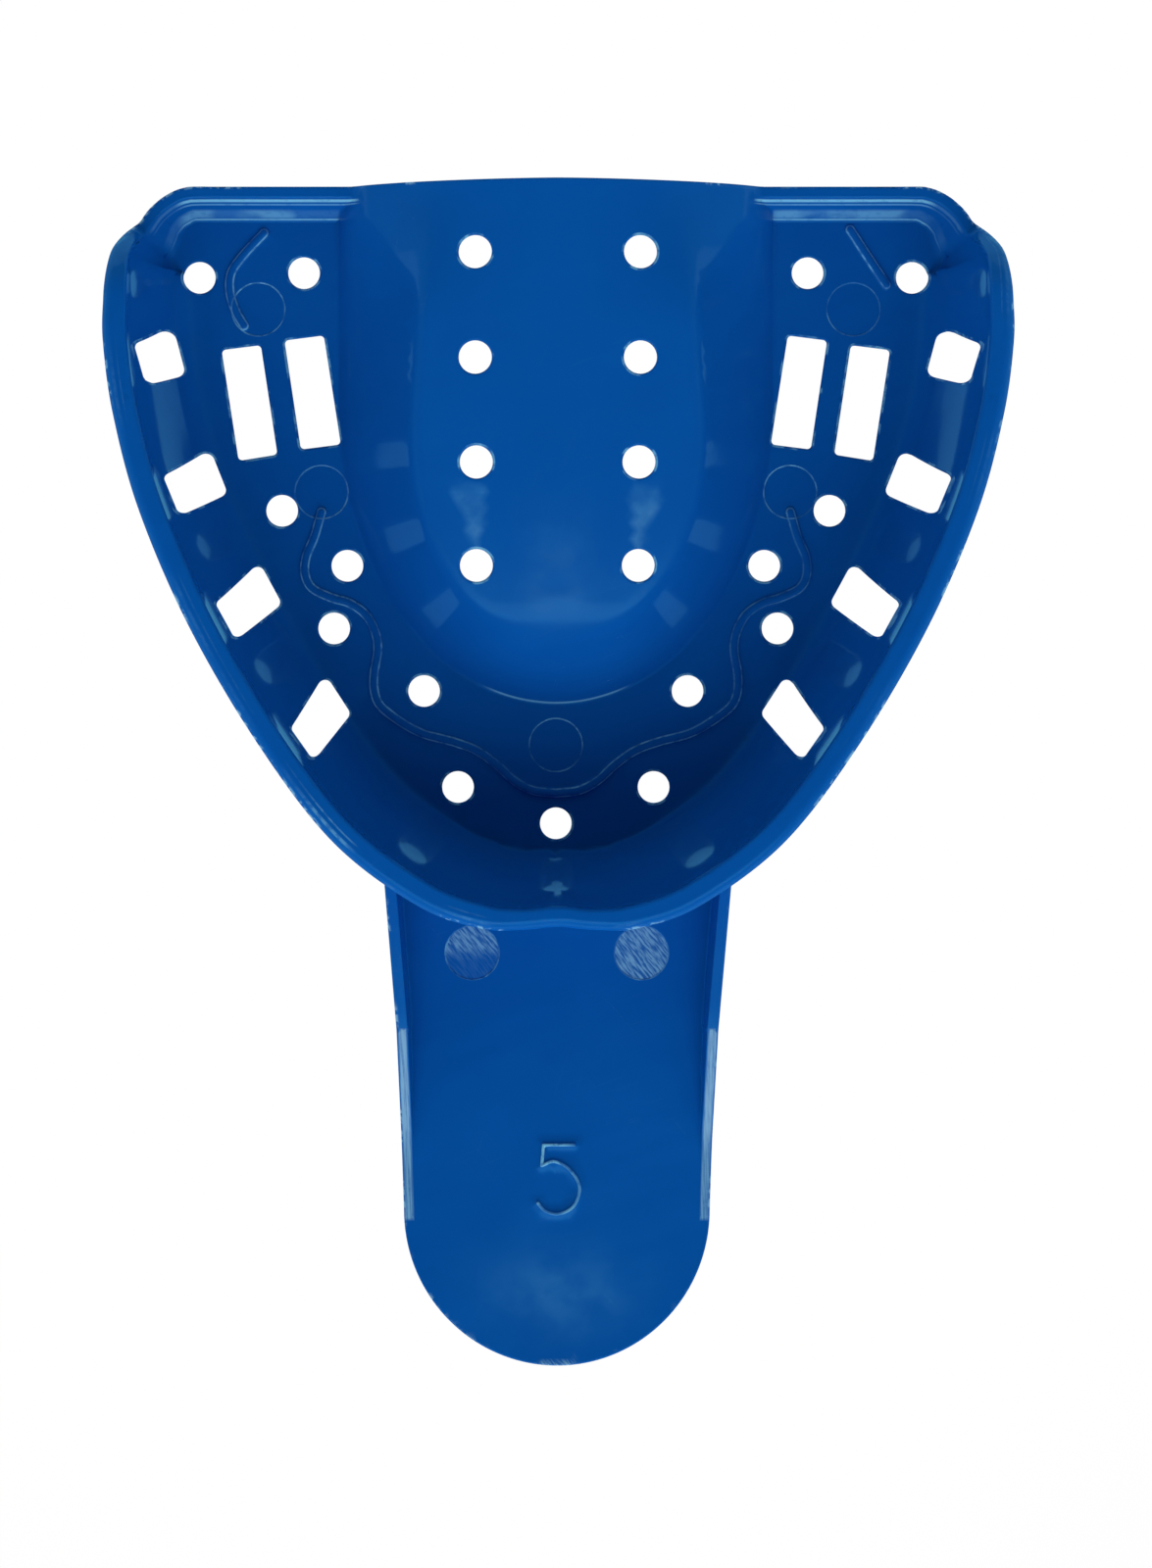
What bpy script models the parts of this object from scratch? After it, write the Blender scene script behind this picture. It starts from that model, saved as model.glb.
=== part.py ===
"""Upper dental impression tray: one perforated shell and its handle, in metres, resting on z = 0.

X is across the tray, +Y is towards the throat end, the handle points to -Y and the teeth side faces +Z.
The lengths below are in millimetres and become metres where the vertices are made.
"""

import math

import bmesh
import bpy
from mathutils import Vector

MM = 0.001

# Shell
SHELL_T = 2.0  # wall, floor and palate thickness
FLOOR_Z = SHELL_T  # top of the trough floor
BACK_Y = 49.5  # straight throat edge
RIM_BAND = 2.0  # width of the flat rim, seen from above
RIM_BEVEL = 0.45
NOMINAL_WALL_H = 15.0  # flange height over the floor at the front
DAM_H = 3.3  # raised end wall over the trough floor
DAM_TOP_Y = 48.4
DAM_FOOT_Y = 47.5

# Plan outlines of one half, from the throat end round to the front midline. Rows of the lists match.
RIM = [
    (32.9, 49.5), (35.2, 48.4), (36.0, 47.5), (36.9, 45.4), (37.2, 43.2), (37.15, 38.0), (35.65, 28.0),
    (31.5, 15.8), (24.3, 3.1), (16.5, -6.4), (8.8, -11.3), (3.8, -11.9), (0.0, -11.6),
]
PALATE_FOOT = [
    (18.6, 49.5), (18.6, 48.4), (18.6, 47.5), (18.6, 45.4), (18.6, 43.2), (18.6, 38.0), (18.4, 29.0),
    (15.9, 18.8), (11.3, 10.8), (7.6, 7.6), (4.4, 6.2), (2.0, 5.8), (0.0, 5.7),
]
SPINE_Y = [49.5, 48.4, 47.5, 45.4, 43.2, 38.0, 30.5, 25.0, 22.5, 21.2, 20.5, 20.1, 20.0]
WALL_H = [3.3, 3.3, 3.3, 5.6, 10.4, 12.4, 13.2, 14.0, 14.6, 15.0, 15.0, 15.0, 14.5]  # over the trough floor
WALL_SPREAD = [5.8, 5.8, 5.8, 5.8, 5.8, 5.8, 6.0, 6.2, 6.2, 5.8, 4.6, 3.9, 3.7]
STEPS = [1, 1, 1, 1, 2, 3, 4, 4, 3, 3, 2, 1]  # sections between one row and the next

# Openings, right half: (x, y) centres
HOLE_R = 1.25
FLOOR_HOLES = [(30.3, 42.0), (21.4, 42.3), (23.3, 22.2), (17.7, 17.4), (18.8, 12.1), (11.2, 6.8), (8.3, -1.3)]
FRONT_HOLE = (0.0, -4.5)
PALATE_HOLE_R = 1.3
PALATE_HOLE_X = 6.75
PALATE_HOLE_Y = [43.4, 34.8, 26.2, 17.6]
SLOT = (3.1, 9.1)
SLOT_TILT = 8.5
SLOTS = [(26.0, 31.3), (20.7, 32.2)]
# Side windows: centre, length along the wall, its lean, length across the wall, its lean
WINDOWS = [
    ((32.65, 34.8), 3.6, 14.0, 3.35, 16.5),
    ((29.9, 24.3), 3.7, 24.2, 4.0, 24.6),
    ((25.6, 14.6), 3.7, 28.3, 4.5, 41.5),
    ((19.6, 4.9), 3.7, 35.1, 4.8, 52.0),
]
CORNER_R = 0.55

# Ejector-pin marks
DISC_R = 2.25
DISC_DEPTH = 0.12
FLOOR_DISCS = [(25.4, 39.3), (20.0, 23.7)]
FRONT_DISC = (0.0, 2.1)
HANDLE_DISCS = [(7.1, -15.0)]

# Raised beads
BEAD_R = 0.42
BEAD_Z = FLOOR_Z + 0.04  # centre line
WAVY_BEAD = [
    (20.0, 22.6), (21.4, 19.2), (21.2, 16.1), (19.1, 14.7), (16.3, 13.2), (15.2, 10.2), (15.4, 6.6),
    (13.4, 4.2), (8.8, 2.4), (4.9, 0.3), (2.1, -1.7), (0.0, -2.0),
]
BACK_BEAD = [(24.9, 45.8), (26.6, 44.0), (27.7, 42.0), (27.5, 39.6), (26.6, 37.9)]

# Handle
GAP = 0.25  # between the handle's root and the wall it grows from
HANDLE_Z = 5.0  # underside
PLATE_T = 2.0
ROOT_Y = -6.0
ROOT_W = 14.1  # half width at the root
TIP_R = 12.8
TIP_Y = -36.7  # centre of the round end
FLANGE_W = 0.9
FLANGE_KNEE_Y = -21.1
FLANGE_END_Y = -37.5
FLANGE_ROOT_H = 7.2  # over the plate
FLANGE_KNEE_H = 3.2
UPTURN_Y = -28.5  # the grip curls up gently past this line
UPTURN = 1.0
DIGIT_C = (0.0, -33.8)
DIGIT = (3.2, 5.8)
DIGIT_STROKE_R = 0.28

BLUE = (0.004, 0.062, 0.283, 1.0)


def clear_scene():
    """Removes every object the scene starts with."""
    for obj in list(bpy.data.objects):
        bpy.data.objects.remove(obj, do_unlink=True)


def new_collection(name):
    made = bpy.data.collections.new(name)
    bpy.context.scene.collection.children.link(made)
    return made


def plastic(name):
    """Glossy blue polystyrene."""
    mat = bpy.data.materials.new(name)
    mat.use_nodes = True
    shader = mat.node_tree.nodes["Principled BSDF"]
    shader.inputs["Base Color"].default_value = BLUE
    shader.inputs["Roughness"].default_value = 0.16
    shader.inputs["Metallic"].default_value = 0.0
    return mat


def make_object(name, verts, faces, collection):
    """An outward-facing mesh object from points in millimetres."""
    mesh = bpy.data.meshes.new(name)
    mesh.from_pydata([Vector(v) * MM for v in verts], [], faces)
    bm = bmesh.new()
    bm.from_mesh(mesh)
    bmesh.ops.recalc_face_normals(bm, faces=bm.faces)
    bm.to_mesh(mesh)
    bm.free()
    obj = bpy.data.objects.new(name, mesh)
    collection.objects.link(obj)
    return obj


def as_cutter(obj):
    obj.hide_render = True
    obj.display_type = "WIRE"
    return obj


def spline(rows, u):
    """Catmull-Rom value at u, where whole numbers are the rows themselves."""
    last = len(rows) - 1
    i = min(int(u), last - 1)
    t = u - i
    p1 = Vector(rows[i])
    p2 = Vector(rows[i + 1])
    p0 = Vector(rows[i - 1]) if i > 0 else p1 * 2 - p2
    p3 = Vector(rows[i + 2]) if i + 2 <= last else p2 * 2 - p1
    a = p1 * 2
    b = (p2 - p0) * t
    c = (p0 * 2 - p1 * 5 + p2 * 4 - p3) * t * t
    d = (p1 * 3 - p0 - p2 * 3 + p3) * t * t * t
    return (a + b + c + d) / 2


def linear(values, u):
    """Straight-line value at u between the rows of a plain list."""
    i = min(int(u), len(values) - 2)
    return values[i] + (values[i + 1] - values[i]) * (u - i)


def station_parameters():
    out = [0.0]
    for row, steps in enumerate(STEPS):
        out += [row + (k + 1) / steps for k in range(steps)]
    return out


def wall_inset(height, spread):
    """How far the inside of the wall stands in from the rim's outer edge, at a height over the floor."""
    share = max(0.0, 1.0 - height / NOMINAL_WALL_H)
    return RIM_BAND + (spread - RIM_BAND) * share**1.8


def wall_outset(height, spread):
    """The same for the outside of the wall."""
    return max(0.0, wall_inset(height, spread) - SHELL_T)


def palate_height(x, y, run):
    """Palate height over the floor, at a plan point and a run in from the palate's foot."""
    back = min(1.0, max(0.0, (y - 24.0) / (BACK_Y - 24.0)))
    slope = 1.0 + 0.85 * back**2
    crown = 10.3 + 1.2 * back - (0.032 + 0.031 * back) * abs(x) ** 1.7
    side = slope * run
    blend = 0.9
    mix = max(blend - abs(side - crown), 0.0) / blend
    return min(side, crown) - mix * mix * blend / 4


def plan_point(u, reach):
    """The plan point a reach in from the rim's outer edge, first to the palate's foot and then to the spine."""
    rim = spline(RIM, u)
    foot = spline(PALATE_FOOT, u)
    spine = Vector((0.0, linear(SPINE_Y, u)))
    trough = (foot - rim).length
    if reach <= trough:
        return rim + (foot - rim) * (reach / trough)
    return foot + (spine - foot) * ((reach - trough) / (spine - foot).length)


def dam_height(y):
    """Height of the raised end wall over the floor at y."""
    return DAM_H * min(1.0, max(0.0, (y - DAM_FOOT_Y) / (DAM_TOP_Y - DAM_FOOT_Y)))


def shell_section(u):
    """Teeth-side points and underside points of one section, rim first, in pairs."""
    spread = linear(WALL_SPREAD, u)
    top = linear(WALL_H, u)
    rim = spline(RIM, u)
    foot = spline(PALATE_FOOT, u)
    spine = Vector((0.0, linear(SPINE_Y, u)))
    trough = (foot - rim).length
    vault = (spine - foot).length
    upper = []
    lower = []

    def put(reach, height, out, under):
        p = plan_point(u, reach)
        q = plan_point(u, out)
        raised = max(height, dam_height(p.y))
        upper.append((p.x, p.y, FLOOR_Z + raised))
        lower.append((q.x, q.y, FLOOR_Z + under))

    for share in (1.0, 0.78, 0.56, 0.36, 0.18):
        height = top * share
        drop = RIM_BEVEL if share == 1.0 else 0.0
        put(wall_inset(height, spread), height, wall_outset(height, spread), height - drop)
    foot_out = wall_outset(0.0, spread)
    put(wall_inset(top * 0.06, spread), top * 0.06, foot_out + 0.1, -0.3)
    put(spread, 0.0, foot_out + 0.9, -1.6)
    put(spread + 1.2, 0.0, foot_out + 2.0, -SHELL_T)
    put((spread + trough) / 2 + 0.6, 0.0, (spread + trough) / 2 + 0.6, -SHELL_T)
    put(trough, 0.0, trough, -SHELL_T)
    for share in (0.07, 0.14, 0.24, 0.36, 0.48, 0.6, 0.73, 0.87, 1.0):
        run = vault * share
        p = plan_point(u, trough + run)
        height = palate_height(p.x, p.y, run)
        ahead = plan_point(u, trough + run + 0.1)
        rise = (palate_height(ahead.x, ahead.y, run + 0.1) - height) / 0.1 if share < 1.0 else 0.0
        under = max(-SHELL_T, height - SHELL_T * math.hypot(1.0, rise))
        put(trough + run, height, trough + run, under)
    return upper, lower


def rim_edge(u):
    """The rim's outer top edge, above the bevel."""
    top = linear(WALL_H, u)
    p = plan_point(u, wall_outset(top, linear(WALL_SPREAD, u)) + RIM_BEVEL)
    return (p.x, p.y, FLOOR_Z + top)


def half_shell():
    """Half of the tray's shell, open on the midline plane, closed at the throat end."""
    verts = []
    loops = []
    for u in station_parameters():
        upper, lower = shell_section(u)
        loop = upper + lower[::-1] + [rim_edge(u)]
        loops.append(range(len(verts), len(verts) + len(loop)))
        verts += loop
    pairs = len(upper)
    size = len(loops[0])
    faces = []
    for a, b in zip(loops, loops[1:]):
        for k in range(size):
            if k != pairs - 1:
                n = (k + 1) % size
                faces.append((a[k], a[n], b[n], b[k]))
    first = loops[0]
    for k in range(pairs - 1):
        faces.append((first[k], first[size - 2 - k], first[size - 3 - k], first[k + 1]))
    faces.append((first[0], first[size - 1], first[size - 2]))
    return verts, faces


def mirror(obj):
    made = obj.modifiers.new("mirror", "MIRROR")
    made.use_axis = (True, False, False)
    made.use_clip = True
    made.merge_threshold = 0.00001


def flat_facets(obj):
    """Splits the shell's slightly twisted four-sided faces, so that every face a Boolean meets is flat."""
    made = obj.modifiers.new("flat_facets", "TRIANGULATE")
    made.quad_method = "SHORTEST_DIAGONAL"


def boolean(obj, operation, cutter):
    made = obj.modifiers.new(cutter.name, "BOOLEAN")
    made.operation = operation
    made.solver = "EXACT"
    made.object = cutter


def prism(outline, bottom, top, verts, faces):
    """Adds a closed vertical prism to a list of vertices and faces."""
    n = len(outline)
    base = len(verts)
    verts += [(x, y, bottom) for x, y in outline]
    verts += [(x, y, top) for x, y in outline]
    faces.append([base + k for k in range(n)][::-1])
    faces.append([base + n + k for k in range(n)])
    for k in range(n):
        m = (k + 1) % n
        faces.append((base + k, base + m, base + n + m, base + n + k))


def circle(x, y, r, count=16):
    turns = [2 * math.pi * (k + 0.5) / count for k in range(count)]
    return [(x + r * math.cos(a), y + r * math.sin(a)) for a in turns]


def rounded_slant(centre, across, across_lean, along, along_lean, corner):
    """A four-sided outline with round corners, whose two directions lean by their own angles in degrees."""
    a = math.radians(across_lean)
    b = math.radians(along_lean)
    side = Vector((math.cos(a), -math.sin(a)))
    run = Vector((math.sin(b), math.cos(b)))
    c = Vector(centre)
    corners = [
        c + side * (sx * across / 2) + run * (sy * along / 2) for sx, sy in ((1, 1), (-1, 1), (-1, -1), (1, -1))
    ]
    out = []
    for k, p in enumerate(corners):
        back = (corners[k - 1] - p).normalized()
        ahead = (corners[(k + 1) % 4] - p).normalized()
        start = p + back * corner
        end = p + ahead * corner
        for t in (0.0, 1 / 3, 2 / 3, 1.0):
            q = start * (1 - t) ** 2 + p * (2 * t * (1 - t)) + end * t**2
            out.append((q.x, q.y))
    return out


def both_sides(points):
    return points + [(-x, y) for x, y in points]


def perforations(collection):
    """Every through opening of the shell, as one set of vertical cutters."""
    verts = []
    faces = []
    for x, y in both_sides(FLOOR_HOLES) + [FRONT_HOLE]:
        prism(circle(x, y, HOLE_R), -1.0, 20.0, verts, faces)
    for y in PALATE_HOLE_Y:
        for x in (PALATE_HOLE_X, -PALATE_HOLE_X):
            prism(circle(x, y, PALATE_HOLE_R), -1.0, 20.0, verts, faces)
    for centre in SLOTS:
        outline = rounded_slant(centre, SLOT[0], SLOT_TILT, SLOT[1], SLOT_TILT, CORNER_R)
        prism(outline, -1.0, 20.0, verts, faces)
        prism([(-x, y) for x, y in outline[::-1]], -1.0, 20.0, verts, faces)
    for centre, along, along_lean, across, across_lean in WINDOWS:
        outline = rounded_slant(centre, across, across_lean, along, along_lean, CORNER_R)
        prism(outline, -1.0, 20.0, verts, faces)
        prism([(-x, y) for x, y in outline[::-1]], -1.0, 20.0, verts, faces)
    return as_cutter(make_object("perforation_cutters", verts, faces, collection))


def pin_marks(name, centres, surface_z, collection):
    """Shallow round recesses left by the ejector pins."""
    verts = []
    faces = []
    for x, y in centres:
        prism(circle(x, y, DISC_R, 28), surface_z - DISC_DEPTH, surface_z + 3.0, verts, faces)
    return as_cutter(make_object(name, verts, faces, collection))


def bead(name, points, z, radius, collection, cyclic=False):
    """A round bead swept through points in millimetres, turned from a curve into a mesh."""
    curve = bpy.data.curves.new(name, "CURVE")
    curve.dimensions = "3D"
    curve.bevel_depth = radius * MM
    curve.bevel_resolution = 1
    curve.resolution_u = 2
    curve.use_fill_caps = True
    path = curve.splines.new("POLY")
    path.points.add(len(points) - 1)
    path.use_cyclic_u = cyclic
    for point, (x, y) in zip(path.points, points):
        point.co = (x * MM, y * MM, z * MM, 1.0)
    source = bpy.data.objects.new(name + "_path", curve)
    collection.objects.link(source)
    bpy.context.view_layer.update()
    deps = bpy.context.evaluated_depsgraph_get()
    mesh = bpy.data.meshes.new_from_object(source.evaluated_get(deps))
    bm = bmesh.new()
    bm.from_mesh(mesh)
    bmesh.ops.remove_doubles(bm, verts=bm.verts, dist=0.000001)
    bmesh.ops.recalc_face_normals(bm, faces=bm.faces)
    bm.to_mesh(mesh)
    bm.free()
    made = bpy.data.objects.new(name, mesh)
    made.matrix_world = source.matrix_world
    bpy.data.objects.remove(source, do_unlink=True)
    collection.objects.link(made)
    return as_cutter(made)


def wavy_path():
    """The wavy bead from one side of the trough round the front to the other."""
    right = [spline(WAVY_BEAD, k / 2) for k in range(2 * len(WAVY_BEAD) - 1)]
    left = [(-p.x, p.y) for p in right[-2::-1]]
    return [(p.x, p.y) for p in right] + left


def build_tray(parts, cutters):
    verts, faces = half_shell()
    tray = make_object("tray_body", verts, faces, parts)
    mirror(tray)
    flat_facets(tray)
    centres = both_sides(FLOOR_DISCS) + [FRONT_DISC]
    boolean(tray, "DIFFERENCE", pin_marks("floor_pin_marks", centres, FLOOR_Z, cutters))
    boolean(tray, "UNION", bead("wavy_bead", wavy_path(), BEAD_Z, BEAD_R, cutters))
    back = [spline(BACK_BEAD, k / 2) for k in range(2 * len(BACK_BEAD) - 1)]
    right = [(p.x, p.y) for p in back]
    boolean(tray, "UNION", bead("back_bead_right", right, BEAD_Z, BEAD_R, cutters))
    left = [(-x, y) for x, y in right]
    boolean(tray, "UNION", bead("back_bead_left", left, BEAD_Z, BEAD_R, cutters))
    boolean(tray, "DIFFERENCE", perforations(cutters))
    return tray


def handle_half_width(y):
    if y >= TIP_Y:
        share = (ROOT_Y - y) / (ROOT_Y - TIP_Y)
        return ROOT_W + (TIP_R - ROOT_W) * share
    return math.sqrt(max(0.0, TIP_R**2 - (TIP_Y - y) ** 2))


def upturn(y):
    share = max(0.0, (UPTURN_Y - y) / (UPTURN_Y - TIP_Y + TIP_R))
    return UPTURN * share**2


def flange_height(y):
    """Height of the side flange over the plate."""
    if y >= FLANGE_KNEE_Y:
        share = (ROOT_Y - y) / (ROOT_Y - FLANGE_KNEE_Y)
        return FLANGE_ROOT_H + (FLANGE_KNEE_H - FLANGE_ROOT_H) * share
    share = (FLANGE_KNEE_Y - y) / (FLANGE_KNEE_Y - FLANGE_END_Y)
    return FLANGE_KNEE_H * max(0.0, 1.0 - share)


def handle_section(y, half):
    """A U-shaped section across the handle, from its right underside corner round to its left."""
    low = HANDLE_Z + upturn(y)
    plate = low + PLATE_T
    top = plate + max(0.02, flange_height(y))
    inner = half - min(FLANGE_W, half * 0.4)
    right = [(half, low + 0.3), (half, top - 0.01), (inner, top), (inner - 0.02, plate), (inner * 0.5, plate)]
    under = [(-half + 0.3, low), (half - 0.3, low)]
    left = [(-x, z) for x, z in right[::-1]]
    return [(x, y, z) for x, z in right + left + under]


def handle_stations():
    straight = [ROOT_Y, -11.0, -16.0, FLANGE_KNEE_Y, -25.0, UPTURN_Y, -31.0, -34.0, TIP_Y]
    turns = [math.pi / 2 * k / 9 for k in range(1, 10)]
    round_end = [TIP_Y - TIP_R * math.sin(a) for a in turns[:-1]]
    return straight + round_end + [TIP_Y - TIP_R + 0.02]


def build_handle(parts, cutters):
    verts = []
    rings = []
    for y in handle_stations():
        ring = handle_section(y, max(handle_half_width(y), 0.75))
        rings.append(range(len(verts), len(verts) + len(ring)))
        verts += ring
    size = len(rings[0])
    faces = [tuple(rings[0]), tuple(rings[-1])]
    for a, b in zip(rings, rings[1:]):
        faces += [(a[k], a[(k + 1) % size], b[(k + 1) % size], b[k]) for k in range(size)]
    handle = make_object("handle", verts, faces, parts)
    flat_facets(handle)
    boolean(handle, "DIFFERENCE", wall_clearance(cutters))
    boolean(handle, "UNION", size_digit(cutters))
    centres = both_sides(HANDLE_DISCS)
    boolean(handle, "DIFFERENCE", pin_marks("handle_pin_marks", centres, HANDLE_Z + PLATE_T, cutters))
    return handle


def wall_clearance(collection):
    """The front of the tray's wall, grown by the gap, that the handle's root is trimmed to."""
    verts = []
    loops = []
    for u in [p for p in station_parameters() if p >= 7.0]:
        spread = linear(WALL_SPREAD, u)
        rim = spline(RIM, u)
        inward = (spline(PALATE_FOOT, u) - rim).normalized()
        loop = []
        for height in (-4.0, 0.0, 2.0, 4.0, 6.5, 9.5, 12.5, 16.0):
            p = rim + inward * (wall_outset(max(height, 0.0), spread) - GAP)
            loop.append((p.x, p.y, FLOOR_Z + height))
        deep = rim + inward * 9.0
        loop += [(deep.x, deep.y, FLOOR_Z + 16.0), (deep.x, deep.y, FLOOR_Z - 4.0)]
        loops.append(range(len(verts), len(verts) + len(loop)))
        verts += loop
    size = len(loops[0])
    faces = [tuple(loops[0])]
    for a, b in zip(loops, loops[1:]):
        faces += [(a[k], a[(k + 1) % size], b[(k + 1) % size], b[k]) for k in range(size)]
    made = as_cutter(make_object("wall_clearance", verts, faces, collection))
    mirror(made)
    flat_facets(made)
    return made


def size_digit(collection):
    """The raised size number 5, read from the handle's end."""
    w, h = DIGIT
    cx, cy = DIGIT_C
    bowl = h * 0.31
    points = [(w * 0.42, h / 2), (-w * 0.32, h / 2), (-w * 0.42, h * 0.06)]
    for k in range(9):
        a = math.radians(125 - 270 * k / 8)
        points.append((math.cos(a) * w * 0.5, -h / 2 + bowl + math.sin(a) * bowl))
    placed = [(cx + x, cy + y) for x, y in points]
    z = HANDLE_Z + PLATE_T + upturn(cy) + 0.05
    return bead("size_digit", placed, z, DIGIT_STROKE_R, collection)


def main():
    clear_scene()
    parts = new_collection("impression_tray")
    cutters = new_collection("cutters")
    tray = build_tray(parts, cutters)
    handle = build_handle(parts, cutters)
    for obj in (tray, handle):
        obj.data.materials.append(plastic(obj.name))
        for poly in obj.data.polygons:
            poly.use_smooth = True


main()
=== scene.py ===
import math

import bpy
import numpy as np
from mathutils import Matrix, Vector
from mathutils.geometry import delaunay_2d_cdt
from mathutils.kdtree import KDTree


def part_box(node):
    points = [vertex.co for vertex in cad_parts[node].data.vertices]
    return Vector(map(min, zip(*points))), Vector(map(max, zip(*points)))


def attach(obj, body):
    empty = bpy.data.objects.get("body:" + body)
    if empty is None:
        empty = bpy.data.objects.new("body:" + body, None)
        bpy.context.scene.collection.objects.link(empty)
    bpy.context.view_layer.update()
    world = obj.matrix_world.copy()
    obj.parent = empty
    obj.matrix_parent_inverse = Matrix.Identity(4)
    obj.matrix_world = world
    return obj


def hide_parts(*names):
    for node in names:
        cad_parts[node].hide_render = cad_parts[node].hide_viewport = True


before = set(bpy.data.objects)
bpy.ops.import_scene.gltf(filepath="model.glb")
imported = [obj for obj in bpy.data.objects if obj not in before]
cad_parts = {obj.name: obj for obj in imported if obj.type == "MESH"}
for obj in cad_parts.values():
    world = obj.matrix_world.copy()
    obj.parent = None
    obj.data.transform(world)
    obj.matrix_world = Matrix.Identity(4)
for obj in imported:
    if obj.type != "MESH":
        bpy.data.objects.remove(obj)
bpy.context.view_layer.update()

# All shapes are worked out in millimetres, X across, +Y to the throat end, Z up from the bench.
MM = 0.001
tray_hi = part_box("tray_body")[1]
grip_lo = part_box("handle")[0]
NOMINAL_HALF_WIDTH = 37.0
NOMINAL_WALL_H = 15.0
SX = tray_hi.x / MM / NOMINAL_HALF_WIDTH
BACK_Y = tray_hi.y / MM
TIP_Y = grip_lo.y / MM
RIM_Z = tray_hi.z / MM
FLOOR_Z = 2.0
GRIP_Z = grip_lo.z / MM
WALL_T = 1.95

# points handled at once in the distance and inside tests
BATCH = 4000
# stands in for a distance or a place that is out of reach
FAR = 999.0
FLIP_X = [-1, 1]

# ---------------------------------------------------------------- curves


def catmull(rows, spacing):
    """Points about `spacing` apart along a smooth curve through the rows; every column is carried."""
    rows = np.asarray(rows, float)
    ext = np.vstack([2 * rows[0] - rows[1], rows, 2 * rows[-1] - rows[-2]])
    out = []
    for i in range(len(rows) - 1):
        p0, p1, p2, p3 = ext[i : i + 4]
        n = max(1, int(round(np.hypot(*(p2 - p1)[:2]) / spacing)))
        t = (np.arange(n) / n)[:, None]
        square = (2 * p0 - 5 * p1 + 4 * p2 - p3) * t**2
        cube = (3 * p1 - p0 - 3 * p2 + p3) * t**3
        out.append(0.5 * (2 * p1 + (p2 - p0) * t + square + cube))
    out.append(rows[-1:])
    return np.vstack(out)


def nearest(points, line):
    """Distance to an open polyline, the place along it and the side (+1 right of its direction)."""
    a = line[:-1, :2]
    d = line[1:, :2] - a
    dd = (d**2).sum(1)
    dist = np.empty(len(points))
    where = np.empty(len(points))
    side = np.empty(len(points))
    for s in range(0, len(points), BATCH):
        p = points[s : s + BATCH, None, :] - a[None]
        t = np.clip((p * d).sum(2) / dd, 0, 1)
        off = p - t[..., None] * d
        q = (off**2).sum(2)
        k = q.argmin(1)
        r = np.arange(len(k))
        dist[s : s + BATCH] = np.sqrt(q[r, k])
        where[s : s + BATCH] = k + t[r, k]
        cross = d[k, 0] * p[r, k, 1] - d[k, 1] * p[r, k, 0]
        side[s : s + BATCH] = np.where(cross <= 0, 1.0, -1.0)
    return dist, where, side


def right_of(t):
    """Unit vectors to the right of many directions."""
    t = t / np.linalg.norm(t, axis=1)[:, None]
    return np.stack([t[:, 1], -t[:, 0]], 1)


def offset_line(line, dist):
    """The polyline moved to its right by dist, one number or one for each point."""
    return line[:, :2] + right_of(np.gradient(line[:, :2], axis=0)) * dist


def both_halves(right):
    """The right half of a line and its mirror image, as one line; they share the point on the midline."""
    return np.vstack([right, (right * FLIP_X)[-2::-1]])


def smax(a, b, k):
    h = np.maximum(k - np.abs(a - b), 0) / np.maximum(k, 1e-9)
    return np.maximum(a, b) + h * h * k / 4


def smin(a, b, k):
    return -smax(-a, -b, k)


def step(t):
    t = np.clip(t, 0, 1)
    return t * t * (3 - 2 * t)


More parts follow.
